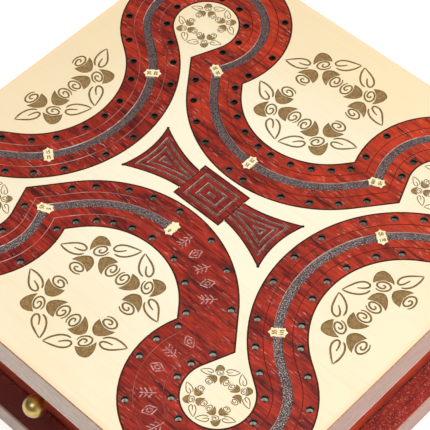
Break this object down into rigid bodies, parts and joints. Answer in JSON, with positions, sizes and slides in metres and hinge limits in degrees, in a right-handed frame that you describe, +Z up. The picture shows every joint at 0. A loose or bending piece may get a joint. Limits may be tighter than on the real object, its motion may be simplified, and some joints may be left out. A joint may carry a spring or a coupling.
{
  "type": "cribbage board",
  "caption": "Square wooden cribbage board with an inlaid two-row peg track, set on a low box with a drawer pulled by a ball knob.",
  "frame": {"origin": "centre of the underside of the base plate, on the surface the box stands on", "axes": "+Z up through the middle of the square top; the drawer opens towards -Y; +X to the right as the drawer faces the player"},
  "size_m": [0.254, 0.2566, 0.0885],
  "materials": {
    "maple": "satin",
    "bloodwood": "satin",
    "dark_bloodwood": "satin",
    "pale_inlay": "satin",
    "edge_band": "matte",
    "drawer_wood": "satin",
    "dark_peg": "satin",
    "brass": "polished",
    "steel": "satin"
  },
  "bodies": {
    "box": {"top_plate": "maple", "track_inlay": "bloodwood", "centre_inlay": "dark_bloodwood", "wing_inlay_left": "dark_bloodwood", "wing_inlay_right": "dark_bloodwood", "number_inlays": "pale_inlay", "top_band_front": "edge_band", "top_band_back": "edge_band", "top_band_left": "edge_band", "top_band_right": "edge_band", "base_plate": "bloodwood", "base_band_front": "edge_band", "base_band_back": "edge_band", "base_band_left": "edge_band", "base_band_right": "edge_band", "wall_left": "bloodwood", "wall_right": "bloodwood", "wall_back": "bloodwood", "base_screws": "steel"},
    "drawer": {"drawer_front": "bloodwood", "drawer_side_left": "drawer_wood", "drawer_side_right": "drawer_wood", "drawer_back": "drawer_wood", "drawer_bottom": "drawer_wood", "drawer_divider": "drawer_wood", "knob": "brass", "knob_screw": "steel", "pegs_light": "pale_inlay", "pegs_dark": "dark_peg"}
  },
  "joints": [
    {"name": "drawer_slide", "type": "slide", "parent": "box", "child": "drawer", "axis": [0, -1, 0], "range_m": [0, 0.15]}
  ]
}
